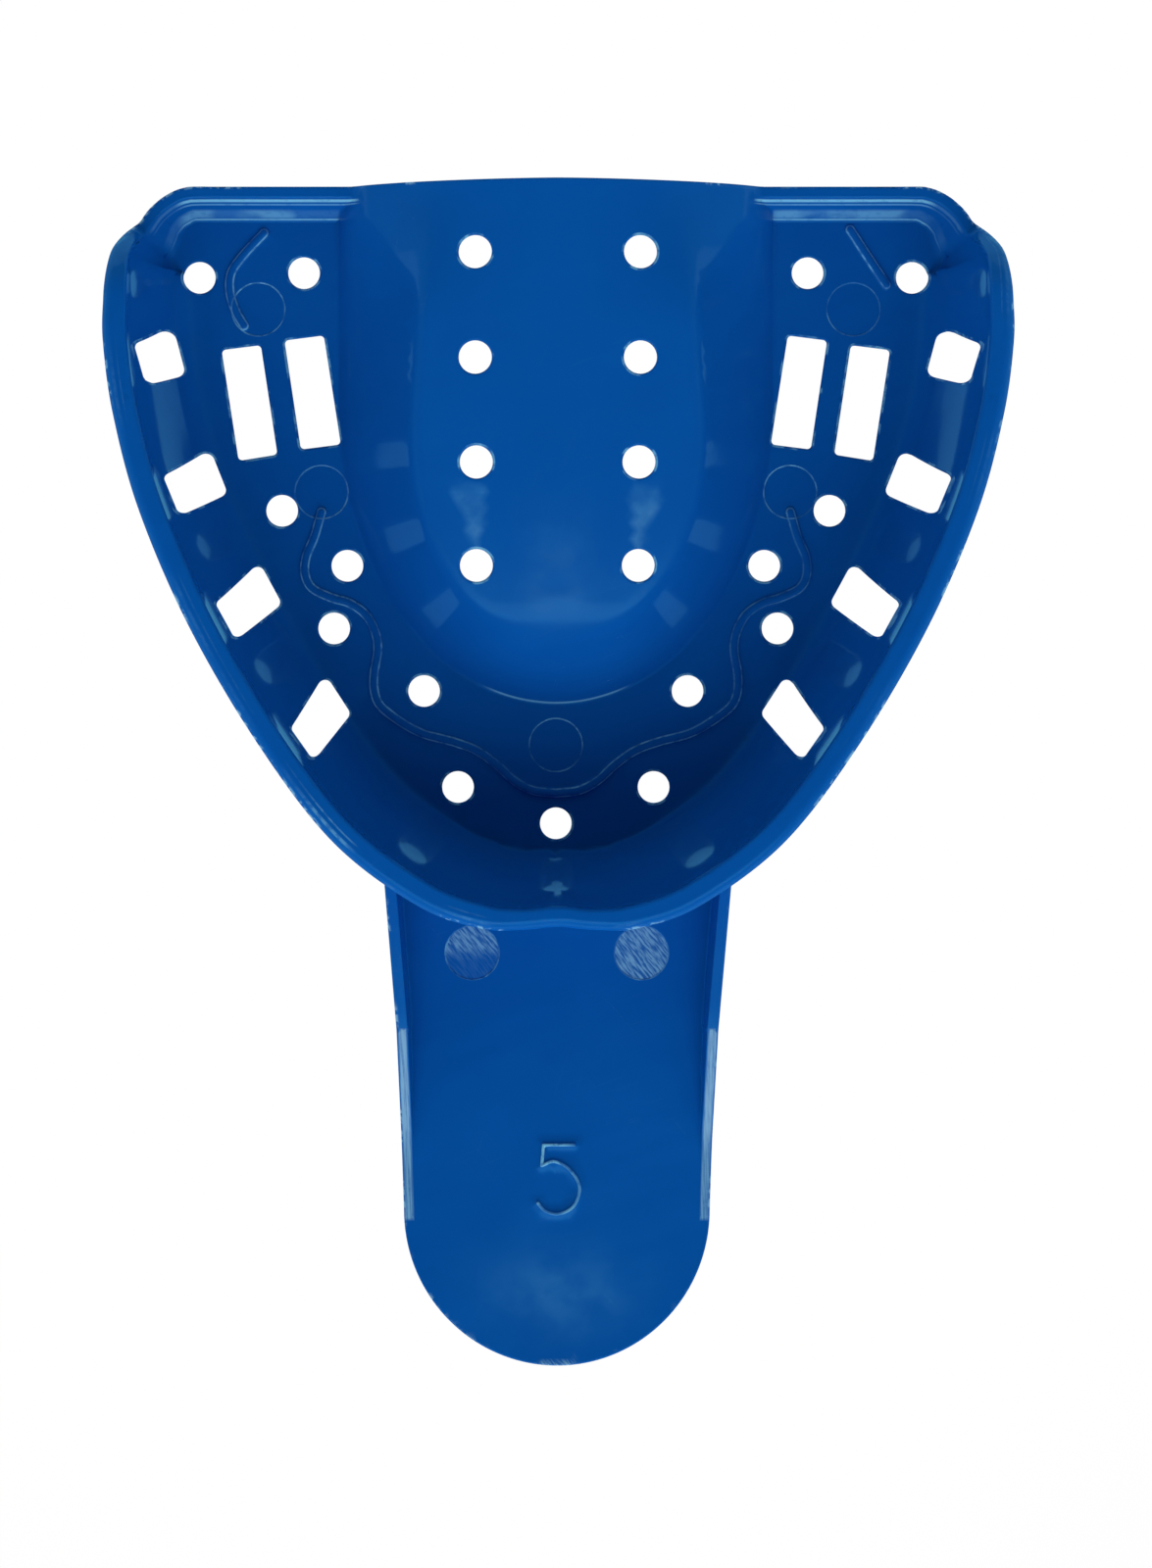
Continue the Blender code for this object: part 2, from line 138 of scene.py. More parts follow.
# ---------------------------------------------------------------- shell outline
# x, y, rim height over the floor, rim width, distance in from the edge to the wall's foot,
# how hollow the wall's slope is, fillet at its foot, rounding of the rim's inner corner
RIM = np.array([
    (12.0, 49.5, 3.3, 1.1, 2.6, 1.0, 0.5, 0.35),
    (18.0, 49.5, 3.3, 1.1, 2.6, 1.0, 0.5, 0.35),
    (24.0, 49.5, 3.3, 1.1, 2.6, 1.0, 0.5, 0.35),
    (30.2, 49.5, 3.3, 1.1, 2.6, 1.0, 0.5, 0.35),
    (31.4, 49.40, 3.3, 1.1, 2.6, 1.0, 0.5, 0.35),
    (32.3, 49.12, 3.3, 1.1, 2.7, 1.0, 0.5, 0.35),
    (33.2, 48.62, 3.3, 1.1, 2.7, 1.0, 0.5, 0.35),
    (33.9, 48.06, 3.3, 1.1, 2.8, 1.0, 0.6, 0.35),
    (34.45, 47.52, 3.3, 1.1, 2.9, 1.05, 0.7, 0.35),
    (34.83, 47.02, 3.3, 1.1, 3.0, 1.1, 0.8, 0.35),
    (35.07, 46.62, 3.35, 1.1, 3.1, 1.15, 0.9, 0.35),
    (35.32, 46.30, 3.7, 1.15, 3.3, 1.2, 1.0, 0.35),
    (35.75, 45.85, 4.7, 1.2, 3.6, 1.3, 1.2, 0.3),
    (36.2, 45.25, 6.3, 1.3, 4.1, 1.5, 1.4, 0.3),
    (36.62, 44.5, 8.1, 1.4, 4.6, 1.65, 1.6, 0.25),
    (36.93, 43.7, 9.6, 1.5, 5.0, 1.8, 1.8, 0.25),
    (37.1, 42.6, 11.0, 1.65, 5.4, 1.8, 2.0, 0.25),
    (37.24, 41.2, 12.0, 1.8, 5.7, 1.9, 2.2, 0.25),
    (37.32, 39.5, 12.5, 1.9, 5.85, 1.9, 2.4, 0.25),
    (37.30, 36.0, 12.9, 1.95, 6.0, 1.9, 2.4, 0.25),
    (36.44, 30.0, 13.2, 1.95, 6.1, 1.9, 2.4, 0.25),
    (34.25, 22.1, 13.7, 1.95, 6.3, 2.0, 2.4, 0.25),
    (30.1, 12.6, 14.2, 1.95, 6.4, 2.0, 2.2, 0.25),
    (24.4, 3.0, 14.7, 1.95, 6.2, 2.0, 1.6, 0.25),
    (18.3, -4.9, 15.0, 2.0, 6.2, 2.05, 0.9, 0.2),
    (11.5, -10.0, 15.0, 2.0, 6.1, 2.0, 0.5, 0.2),
    (6.4, -11.85, 15.0, 1.9, 5.7, 1.9, 0.4, 0.2),
    (2.9, -12.0, 14.8, 1.65, 5.3, 1.9, 0.4, 0.2),
    (0.0, -11.8, 14.4, 1.65, 5.2, 1.9, 0.4, 0.2),
])
RIM[:, 0] *= SX
RIM[:, 2] *= (RIM_Z - FLOOR_Z) / NOMINAL_WALL_H


def half_rim(spacing):
    """The right half of the rim, throat edge to midline, as a smooth curve square to the midline."""
    beyond = RIM[-2] * np.array([-1] + [1] * 7)
    line = catmull(np.vstack([RIM, beyond]), spacing)
    return line[line[:, 0] >= -1e-9]


HALF_RIM = half_rim(0.2)
# height of the low end walls at the throat
WALL_FROM = 3.3
# the straight throat edge ends here
CORNER_X = 30.2
# the palate's foot: straight sides, and half an ellipse round the front
FOOT_HALF = 18.6
FOOT_Y = 31.0
FOOT_DEPTH = 25.3


def rim_frame(x, y):
    """Distance in from the rim's outer edge, and the rim's own numbers there."""
    p = np.stack([np.abs(x), y], 1)
    dist, where, side = nearest(p, HALF_RIM)
    i = np.minimum(where.astype(int), len(HALF_RIM) - 2)
    f = (where - i)[:, None]
    rows = HALF_RIM[i, 2:] * (1 - f) + HALF_RIM[i + 1, 2:] * f
    return dist * side, rows


def palate_run(x, y):
    """How far in from the palate's foot a point is."""
    u = np.abs(x) / FOOT_HALF
    v = np.maximum(FOOT_Y - y, 0) / FOOT_DEPTH
    rho = np.sqrt(u * u + v * v) + 1e-9
    grad = np.sqrt((u / FOOT_HALF) ** 2 + (v / FOOT_DEPTH) ** 2) / rho
    return (1 - rho) / np.maximum(grad, 1e-6)


def palate(x, y):
    """Palate height over the floor: steep sides meet a gently arched top; rounder towards the throat."""
    run = palate_run(x, y)
    fore = BACK_Y - y
    crest = 11.5 - 0.0608 * fore - 5.165e-5 * np.abs(fore) ** 3
    ahead = np.exp(-((x / 6.0) ** 2)) * step((22 - y) / 6)
    climb = np.maximum(run, 0)
    side = (1.03 - 0.13 * ahead) * run + 0.034 * (1 - ahead) * climb**2
    side += np.where(run > 0, 0.4 * (1 - np.exp(-climb / 0.8)), run * 0.5)
    top = crest - 0.014 * np.abs(x) ** 1.8
    front = smin(side, top, 0.75 + 0.9 * np.exp(-((x / 4.5) ** 2)) * step((22 - y) / 6))
    t = np.clip(1 - run / FOOT_HALF, 0, 1)
    arch = crest * np.maximum(1 - t**1.5, 1e-9) ** 0.58
    arch = np.where(run > 0.02, arch, side)
    return front + (arch - front) * step((y - 37) / 12.5)


def crown_of(rise):
    """Width and drop of the rounding of the rim's outer edge."""
    share = step((rise - WALL_FROM) / 8.0)
    return 0.3 + 0.65 * share, 0.12 + 0.5 * share


def shell_top(x, y):
    d, rows = rim_frame(x, y)
    rise, band, spread, power, fillet, lip = rows.T
    level_front = 0.35 * np.exp(-((x / 3.2) ** 2)) * step((d - band) / 0.8) * (y < 0)
    share = (d + level_front - band) / (spread - band)
    low = np.clip(share, 1e-9, 1.0)
    wall = (rise - lip) * (1 - low ** (1 / power)) - np.maximum(share - 1, 0) * rise / power
    width, drop = crown_of(rise)
    crown = rise - drop * np.clip(1 - d / width, 0, 1.2) ** 2.2
    into = np.clip(d - (band - lip), 0, lip)
    crown -= lip - np.sqrt(lip**2 - into**2)
    w = np.where(d < band, crown, wall)
    ground = smax(np.zeros_like(x), palate(x, y), 0.35)
    return FLOOR_Z + smax(w, ground, fillet)


def shell_bottom(x, y):
    d, rows = rim_frame(x, y)
    rise, band, spread, power, fillet, lip = rows.T
    share = (d - (band - WALL_T)) / (spread - band)
    low = np.clip(share, 1e-9, 1.0)
    wall = (rise - 0.7) * (1 - low ** (1 / power)) - np.maximum(share - 1, 0) * rise / power
    wall -= 12.0 * (1 - step((rise - WALL_FROM) / 2.5))
    e = 0.02
    slope = np.hypot(palate(x + e, y) - palate(x - e, y), palate(x, y + e) - palate(x, y - e)) / (2 * e)
    under = palate(x, y) - FLOOR_Z * np.sqrt(1 + np.minimum(slope, 1.5) ** 2)
    flat = smax(np.full_like(x, -FLOOR_Z), under, 0.8)
    return FLOOR_Z + smax(wall, flat, np.minimum(1.6, rise * 0.4))


# ---------------------------------------------------------------- openings


def circle(x, y, r, n=40):
    a = 2 * math.pi * np.arange(n) / n
    return np.stack([x + r * np.cos(a), y + r * np.sin(a)], 1)


def rounded(corners, radii, spacing=0.3):
    """A closed outline with corners rounded by their own radii, and sides cut into short lengths."""
    c = np.asarray(corners, float)
    n = len(c)
    out = []
    for k in range(n):
        p, a, b = c[k], c[k - 1] - c[k], c[(k + 1) % n] - c[k]
        a /= np.linalg.norm(a)
        b /= np.linalg.norm(b)
        half = math.acos(np.clip(a @ b, -1, 1)) / 2
        r = radii[k]
        centre = p + (a + b) / np.linalg.norm(a + b) * r / math.sin(half)
        start = p + a * r / math.tan(half)
        end = p + b * r / math.tan(half)
        v0, v1 = start - centre, end - centre
        sweep = math.acos(np.clip(v0 @ v1 / r / r, -1, 1))
        turn = math.copysign(1, v0[0] * v1[1] - v0[1] * v1[0])
        for t in np.linspace(0, 1, 7):
            cos, sin = math.cos(turn * sweep * t), math.sin(turn * sweep * t)
            out.append(centre + np.array([v0[0] * cos - v0[1] * sin, v0[0] * sin + v0[1] * cos]))
    out = np.array(out)
    dense = []
    for p, q in zip(out, np.roll(out, -1, 0)):
        m = max(1, int(np.linalg.norm(q - p) / spacing))
        dense += [p + (q - p) * j / m for j in range(m)]
    return np.array(dense)


def ccw(outline):
    x, y = outline.T
    area = (x * np.roll(y, -1) - np.roll(x, -1) * y).sum()
    return outline if area > 0 else outline[::-1]


HOLE_R, PALATE_HOLE_R = 1.35, 1.37
FLOOR_HOLES = [
    (30.4, 42.0), (21.5, 42.4), (23.37, 22.1), (17.8, 17.4), (18.93, 12.05), (11.25, 6.7), (8.35, -1.5),
]
PALATE_HOLES = [(6.82, 43.5), (6.82, 34.8), (6.74, 26.15), (6.74, 17.55)]
MID_HOLE_Y = -4.6
# corners of the right half's openings: outer throat side, inner throat side, inner front, outer front
SLOTS = [
    [(28.54, 35.82), (25.2, 36.24), (23.78, 26.9), (27.08, 26.37)],
    [(23.17, 36.64), (19.82, 37.07), (18.36, 27.77), (21.77, 27.34)],
]
WINDOWS = [
    [(35.05, 35.91), (32.54, 37.83), (31.5, 33.66), (34.25, 32.58)],
    [(32.69, 24.99), (29.48, 27.36), (27.98, 23.57), (31.39, 21.7)],
    [(28.33, 14.45), (25.3, 17.73), (23.37, 14.16), (26.66, 11.4)],
    [(22.1, 4.08), (19.73, 8.21), (17.49, 4.75), (20.2, 1.38)],
]
SLOT_RADIUS = 0.35
WINDOW_RADII = [(0.6, 0.8, 0.7, 0.6), (0.5, 0.7, 0.6, 0.5), (0.45, 0.6, 0.6, 0.45), (0.45, 0.6, 0.6, 0.45)]
holes = [circle(0.0, MID_HOLE_Y, HOLE_R)]
for sx in (1, -1):
    holes += [circle(sx * x, y, HOLE_R) for x, y in FLOOR_HOLES]
    holes += [circle(sx * x, y, PALATE_HOLE_R) for x, y in PALATE_HOLES]
    shapes = [rounded(c, [SLOT_RADIUS] * 4) for c in SLOTS]
    shapes += [rounded(c, r) for c, r in zip(WINDOWS, WINDOW_RADII)]
    holes += [s * [sx, 1] for s in shapes]
holes = [ccw(h) for h in holes]

# ---------------------------------------------------------------- beads and discs on a surface
# profile: distance from the centre line, height
BEAD = np.array([
    (0, 0.40), (0.12, 0.385), (0.22, 0.34), (0.30, 0.275),
    (0.36, 0.19), (0.41, 0.08), (0.47, 0.015), (0.55, 0.0),
])
# the wavy bead's right half
WAVY = [
    (20.0, 22.0), (20.6, 19.9), (21.3, 18.2), (21.4, 16.7), (20.8, 15.5), (19.2, 14.7), (17.6, 14.2),
    (16.2, 13.2), (15.4, 11.7), (15.2, 10.2), (15.5, 8.3), (15.5, 6.8), (15.0, 5.5), (13.4, 4.2),
    (11.4, 3.1), (8.8, 2.4), (6.7, 1.6), (4.9, 0.3), (3.6, -0.9), (2.0, -1.75), (0.0, -2.0),
]
BACK_LEFT = [(-24.9, 45.8), (-26.6, 44.0), (-27.7, 42.4), (-27.8, 40.7), (-27.3, 39.1), (-26.6, 37.9)]
BACK_RIGHT = [(25.1, 46.1), (26.6, 43.8), (28.2, 41.4)]
beads = [both_halves(catmull(WAVY, 0.3)), catmull(BACK_LEFT, 0.3), catmull(BACK_RIGHT, 0.3)]


def ring_about(line, r):
    """A closed loop at distance r round an open polyline, with round ends and corners.

    Points that would lie nearer to the line than r are moved out of reach, which breaks the loop.
    """
    seg = np.diff(line, axis=0)
    head = np.arctan2(seg[:, 1], seg[:, 0])
    out = []
    for rev in (False, True):
        pts = line[::-1] if rev else line
        ang = (head[::-1] + math.pi) if rev else head
        for k, p in enumerate(pts[:-1]):
            before = ang[k - 1] if k else ang[0] - math.pi
            turn = (ang[k] - before + math.pi) % (2 * math.pi) - math.pi if k else math.pi
            if k == 0:
                sweep = before + np.linspace(0, math.pi, 9)
            elif turn > 0.2:
                sweep = before + np.linspace(0, turn, 2 + int(turn / 0.35))
            else:
                sweep = [before + turn / 2]
            out += [p + r * np.array([math.sin(g), -math.cos(g)]) for g in sweep]
    out = np.array(out)
    out[nearest(out, line)[0] < r * 0.985] = FAR
    return np.vstack([out, out[:1]])


def bump(x, y, line, profile):
    """Height of a raised line over the surface it lies on."""
    out = np.zeros_like(x)
    lo, hi = line.min(0) - 1, line.max(0) + 1
    near = (x > lo[0]) & (x < hi[0]) & (y > lo[1]) & (y < hi[1])
    if near.any():
        dist, _, _ = nearest(np.stack([x[near], y[near]], 1), line)
        out[near] = np.interp(dist, profile[:, 0], profile[:, 1])
    return out


def recess(x, y, discs):
    """Depth of the shallow round ejector-pin marks."""
    out = np.zeros_like(x)
    for cx, cy in discs:
        r = np.hypot(x - cx, y - cy)
        out = np.maximum(out, DISC_DEPTH * step((DISC_R + 0.04 - r) / 0.1))
    return out


FLOOR_DISCS = [(25.4, 39.3), (-25.4, 39.3), (20.0, 23.7), (-20.0, 23.7), (0.0, 2.1)]
DISC_R, DISC_DEPTH = 2.25, 0.09
# rings of points across a disc's edge, off its radius
DISC_RINGS = (-0.12, -0.06, -0.01, 0.04, 0.12)
# reach of the distances that the material reads
GAP_LIMIT = 3.0


def gap_to(values):
    return np.clip(values, -GAP_LIMIT, GAP_LIMIT)


def disc_gaps(x, y, discs):
    """Distance outside each disc's edge."""
    return [np.hypot(x - cx, y - cy) - DISC_R for cx, cy in discs]


def shell_top_full(x, y):
    z = shell_top(x, y) - recess(x, y, FLOOR_DISCS)
    for line in beads:
        z = z + bump(x, y, line, BEAD)
    return z


def shell_marks(x, y):
    """Distances to the features whose corners get painted highlight lines, where painted sheen patches go,
    and where the skin is matt.
    """
    d, rows = rim_frame(x, y)
    rise, band, spread = rows.T[:3]
    p = np.stack([x, y], 1)
    bead_gap = np.min([nearest(p, line)[0] for line in beads], axis=0)
    run = palate_run(x, y)
    # where the low end walls get painted highlight lines
    low_edge = step((3.6 - rise) / 0.25) * step((np.abs(x) - 16.9) / 0.15) * step((y - 40) / 2)
    # painted highlight: a wedge between the two front rows of palate holes, and a soft painted sheen patch on
    # the palate's front slope
    centre, half = 6.7 + 0.13 * (y - 19), 0.25 + 0.22 * (y - 19)
    streak = step((half - np.abs(np.abs(x) - centre)) / 0.3 + 0.5)
    streak = streak * step((y - 18.6) / 0.8) * step((24.6 - y) / 1.2)
    drift_and_sheen = np.exp(-((x / 3.0) ** 4) - ((y - 18.0) / 4.5) ** 4)
    return {
        "matt": np.zeros_like(x),
        "edge": np.clip(1 - d / 0.4, 0, 1),
        "lip_gap": gap_to(d - band),
        "cove_gap": gap_to(d - spread),
        "dam": low_edge,
        "bead_gap": gap_to(bead_gap - 0.33),
        "bead_glint": np.full_like(x, 0.7),
        "disc_gap": gap_to(np.min(disc_gaps(x, y, FLOOR_DISCS), axis=0)),
        "foot_gap": gap_to(run),
        "foot": step((6.6 - np.abs(x)) / 2.0) * step((12 - y) / 3),
        "painted_sheen": np.maximum(1.7 * streak, 0.4 * drift_and_sheen),
    }


# ---------------------------------------------------------------- meshing a two-sided plate


def inside(points, outline):
    """Even-odd test of many points against one closed outline."""
    x, y = points.T
    out = np.zeros(len(points), bool)
    lo, hi = outline.min(0), outline.max(0)
    pick = np.nonzero((x >= lo[0]) & (x <= hi[0]) & (y >= lo[1]) & (y <= hi[1]))[0]
    a, b = outline, np.roll(outline, -1, 0)
    for s in range(0, len(pick), BATCH):
        k = pick[s : s + BATCH]
        px, py = x[k, None], y[k, None]
        cond = (a[:, 1] > py) != (b[:, 1] > py)
        cut = (b[:, 0] - a[:, 0]) * (py - a[:, 1]) / (b[:, 1] - a[:, 1] + 1e-300) + a[:, 0]
        out[k] = (cond & (px < cut)).sum(1) % 2 == 1
    return out


# the openings' outer faces slant along straight lines from a point 270 mm over this place
SIGHT = np.array([-5.0, 22.2])
SIGHT_SLOPE = 1 / 270.0
SIGHT_REACH = 1.8


def draft(x, y, deep, cuts):
    """Plan shift of the underside round each opening, which hides its outer face from the sight point."""
    p = np.stack([x, y], 1)
    shift = np.zeros_like(p)
    for cut in cuts:
        near = np.nonzero((np.abs(p - cut.mean(0)) < np.ptp(cut, 0) / 2 + SIGHT_REACH).all(1))[0]
        closed = np.vstack([cut, cut[:1]])
        dist, where, _ = nearest(p[near], closed)
        i = np.minimum(where.astype(int), len(cut) - 1)
        n = right_of(closed[i + 1] - closed[i])
        facing = np.maximum((n * (p[near] - SIGHT)).sum(1), 0)
        size = facing * SIGHT_SLOPE * deep[near] * (1 - step(dist / SIGHT_REACH))
        shift[near] += n * size[:, None]
    return shift


# rings of points across a rounded edge, and the edge's radius
RING = np.array([0.0, 0.015, 0.055, 0.115, 0.2])
EDGE_R = 0.2
# distance given to points that lie on no rounded edge
CLEAR = 9.0
LONGEST_EDGE = 1.2
THINNEST = 0.05


class Plate:
    """Plan points and fixed edges of a piece whose top and underside are both heights over the plan.

    Each point carries its distance from a rounded edge, and the plan direction out of that edge.
    """

    def __init__(self, outline, cuts):
        self.outline = outline
        self.cuts = cuts
        self.points = []
        self.edges = []
        self.dist = []
        self.toward = []
        self.rings = []

    def add(self, pts, dist=None, toward=None, closed=False, join=True):
        """Adds points, joined in order unless join is off."""
        base = len(self.points)
        n = len(pts)
        self.points += [tuple(p) for p in pts]
        self.dist += list(np.full(n, CLEAR) if dist is None else np.broadcast_to(dist, n))
        self.toward += [tuple(v) for v in (np.zeros((n, 2)) if toward is None else toward)]
        if join:
            self.edges += [(base + k, base + k + 1) for k in range(n - 1)]
            if closed:
                self.edges.append((base + n - 1, base))

    def free(self, pts, gap, wall=None):
        """Which points are in the plate, and clear of its outlines and of the points already there."""
        pts = np.asarray(pts, float)
        ok = inside(pts, self.outline)
        border = np.vstack([self.outline, self.outline[:1]])
        ok &= nearest(pts, border)[0] >= (gap if wall is None else wall)
        for cut in self.cuts:
            near = np.nonzero(ok & (np.abs(pts - cut.mean(0)) < np.ptp(cut, 0) / 2 + 1).all(1))[0]
            if len(near):
                closed = np.vstack([cut, cut[:1]])
                ok[near] = ~inside(pts[near], cut) & (nearest(pts[near], closed)[0] >= RING[-1] + 0.06)
        tree = KDTree(len(self.points) or 1)
        for i, p in enumerate(self.points):
            tree.insert((p[0], p[1], 0), i)
        tree.balance()
        if self.points:
            for i in np.nonzero(ok)[0]:
                if tree.find((pts[i, 0], pts[i, 1], 0))[2] < gap:
                    ok[i] = False
        return ok

    def add_line(self, pts, gap, wall=None):
        """A polyline, broken where it comes too close to anything."""
        pts = np.asarray(pts, float)
        ok = self.free(pts, gap, wall)
        base = len(self.points)
        index = {}
        for i in np.nonzero(ok)[0]:
            index[i] = base + len(index)
        self.points += [tuple(pts[i]) for i in index]
        self.dist += [CLEAR] * len(index)
        self.toward += [(0.0, 0.0)] * len(index)
        for i in index:
            if i + 1 in index and np.linalg.norm(pts[i + 1] - pts[i]) < LONGEST_EDGE:
                self.edges.append((index[i], index[i + 1]))

    def add_cut(self, cut):
        """An opening's outline and the rings of its rounded edge."""
        toward = -right_of(np.roll(cut, -1, 0) - np.roll(cut, 1, 0))
        first = len(self.points)
        for d in RING:
            self.add(cut - toward * d, dist=d, toward=toward, closed=True)
        self.rings += range(first, len(self.points))

    def build(self, name, top, bottom, marks, extra=None):
        """The closed mesh, with its normals and with the marks that the material reads."""
        pts = np.array(self.points)
        res = delaunay_2d_cdt([Vector(p) for p in pts], self.edges, [], 0, 1e-7, True)
        co = np.array([tuple(v) for v in res[0]])
        tri = np.array(res[2])
        orig = np.array([o[0] if o else -1 for o in res[3]])
        mid = co[tri].mean(1)
        keep = inside(mid, self.outline)
        for cut in self.cuts:
            keep &= ~inside(mid, cut)
        tri = tri[keep]
        used = np.unique(tri)
        remap = np.full(len(co), -1)
        remap[used] = np.arange(len(used))
        tri = remap[tri]
        co, orig = co[used], orig[used]
        dist = np.array(self.dist)[orig]
        toward = np.array(self.toward)[orig]
        dist[orig < 0] = CLEAR
        toward[orig < 0] = 0.0
        x, y = co.T
        radius = extra(x, y) if extra else np.full(len(x), EDGE_R)
        reach = np.clip(radius - dist * radius / EDGE_R, 0, None)
        drop = radius - np.sqrt(np.maximum(radius**2 - reach**2, 0))
        lean = reach / np.sqrt(np.maximum(radius**2 - reach**2, radius**2 * 1e-5))
        e = 1e-3

        def surface(fn, sign):
            z = fn(x, y)
            gx = (fn(x + e, y) - fn(x - e, y)) / (2 * e)
            gy = (fn(x, y + e) - fn(x, y - e)) / (2 * e)
            out = lean[:, None] * toward
            n = np.stack([-sign * gx + out[:, 0], -sign * gy + out[:, 1], np.full(len(x), float(sign))], 1)
            n /= np.linalg.norm(n, axis=1)[:, None]
            return z - sign * drop, n

        zt, nt = surface(top, 1)
        zb, nb = surface(bottom, -1)
        zb = np.minimum(zb, zt - THINNEST)
        m = len(co)
        below = co + draft(x, y, zt - zb, self.cuts)
        verts = np.vstack([np.column_stack([co, zt]), np.column_stack([below, zb])]) * MM
        a, b, c = co[tri[:, 0]], co[tri[:, 1]], co[tri[:, 2]]
        flip = (b - a)[:, 0] * (c - a)[:, 1] - (b - a)[:, 1] * (c - a)[:, 0] < 0
        tri[flip] = tri[flip][:, ::-1]
        half = np.concatenate([tri[:, [0, 1]], tri[:, [1, 2]], tri[:, [2, 0]]])
        key = half[:, 0] * m + half[:, 1]
        back = half[:, 1] * m + half[:, 0]
        rim = half[~np.isin(key, back)]
        faces = tri.tolist() + (tri[:, ::-1] + m).tolist()
        faces += np.column_stack([rim[:, 1], rim[:, 0], rim[:, 0] + m, rim[:, 1] + m]).tolist()
        mesh = bpy.data.meshes.new(name)
        mesh.from_pydata(verts.tolist(), [], faces)
        mesh.validate()
        mesh.shade_smooth()
        mesh.normals_split_custom_set_from_vertices(np.vstack([nt, nb]).tolist())
        labels = marks(x, y)
        labels["hole_gap"] = np.where(np.isin(orig, self.rings), np.minimum(dist, 0.5), GAP_LIMIT)
        for label, values in labels.items():
            unmarked = np.full(m, GAP_LIMIT if label.endswith("_gap") else 0.0)
            layer = mesh.attributes.new(label, "FLOAT", "POINT")
            layer.data.foreach_set("value", np.concatenate([values, unmarked]).astype(np.float32))
        obj = bpy.data.objects.new(name, mesh)
        bpy.context.scene.collection.objects.link(obj)
        print(name, "verts", len(verts), "faces", len(faces))
        return obj


def hexes(lo, hi, pitch):
    """A triangular grid of points over a box."""
    rows = []
    for j, y in enumerate(np.arange(lo[1], hi[1], pitch * 0.866)):
        x = np.arange(lo[0], hi[0], pitch) + (pitch / 2 if j % 2 else 0)
        rows.append(np.stack([x, np.full(len(x), y)], 1))
    return np.vstack(rows)


def mirrored_rim(dist):
    """The rim offset inwards by dist, from the right throat corner round the front to the left one."""
    base = half_rim(0.5)
    right = offset_line(base, dist)
    right = right[right[:, 0] > 0.2]
    return np.vstack([right, (right * FLIP_X)[::-1]])


GRID_PITCH, GRID_GAP = 0.75, 0.42
# distances in from the rim's edge of the lines of points along its crown
CROWN_LINES = (0.06, 0.16, 0.3, 0.45, 0.65, 0.9, 1.2, 1.5)
# shares of the rim's inner rounding, and heights on the wall's inner and outer slope, with lines of points
LIP_LINES = (1.0, 0.75, 0.5, 0.3, 0.12, 0.03)
INNER_LINES = (0.02, 0.06, 0.12, 0.2, 0.28, 0.36, 0.44, 0.52, 0.6, 0.67, 0.74, 0.81, 0.88, 0.94, 1.0)
OUTER_LINES = (0.03, 0.1, 0.2, 0.3, 0.4, 0.5)
FLOOR_LINES = (0.25, 0.6, 1.0)
# distances in from the palate's foot
FOOT_LINES = (-0.45, -0.2, 0.0, 0.2, 0.45, 0.9)


def add_features(plate, lines, profile, line_gap, discs):
    """Lines of points along raised lines, at the breaks of their profile, and across the discs' edges."""
    for line in lines:
        plate.add_line(line, line_gap)
        for r in profile[1:, 0]:
            plate.add_line(ring_about(line, r), line_gap)
    for cx, cy in discs:
        for r in DISC_RINGS:
            plate.add_line(circle(cx, cy, DISC_R + r, 72), 0.04)


def add_grid(plate):
    grid = hexes(plate.outline.min(0), plate.outline.max(0), GRID_PITCH)
    plate.add(grid[plate.free(grid, GRID_GAP)], join=False)


def add_wall_lines(plate):
    """Lines of points along the rim's inner rounding and down both slopes of the flange wall."""
    base = half_rim(0.45)
    band, spread, power, lip = base[:, 3], base[:, 4], base[:, 5], base[:, 7]
    rows = [band - lip * k for k in LIP_LINES]
    rows += [band + (spread - band) * level**power for level in INNER_LINES]
    rows += [spread + k for k in FLOOR_LINES]
    rows += [band - WALL_T + (spread - band) * level**power for level in OUTER_LINES]
    for reach in rows:
        pts = offset_line(base, reach[:, None])
        real = nearest(pts, HALF_RIM)[0]
        good = (np.abs(real - reach) < 0.03) & (pts[:, 0] > 0.15) & (pts[:, 1] < BACK_Y - 0.26)
        pts[~good] = FAR
        plate.add_line(pts, 0.035, 0.04)
        plate.add_line(pts * FLIP_X, 0.035, 0.04)


def add_foot_lines(plate):
    """Lines of points along the palate's foot."""
    turns = np.linspace(0, math.pi, 150)
    for d in FOOT_LINES:
        arc = [(FOOT_HALF - d) * np.cos(turns), FOOT_Y - (FOOT_DEPTH - d) * np.sin(turns)]
        up_y = np.arange(BACK_Y - 0.3, FOOT_Y + 0.2, -0.5)
        right_up = np.stack([np.full(len(up_y), FOOT_HALF - d), up_y], 1)
        plate.add_line(np.vstack([right_up, np.stack(arc, 1), (right_up * FLIP_X)[::-1]]), 0.09)


def throat_edge_radius(x, y):
    """Rounding of the shell's edges; the throat edge's fades out at its corners."""
    r = np.full(len(x), EDGE_R)
    at_back = y > BACK_Y - 0.25
    r[at_back] = np.maximum(0.02, EDGE_R * step((CORNER_X - np.abs(x[at_back])) / 0.9))
    return r


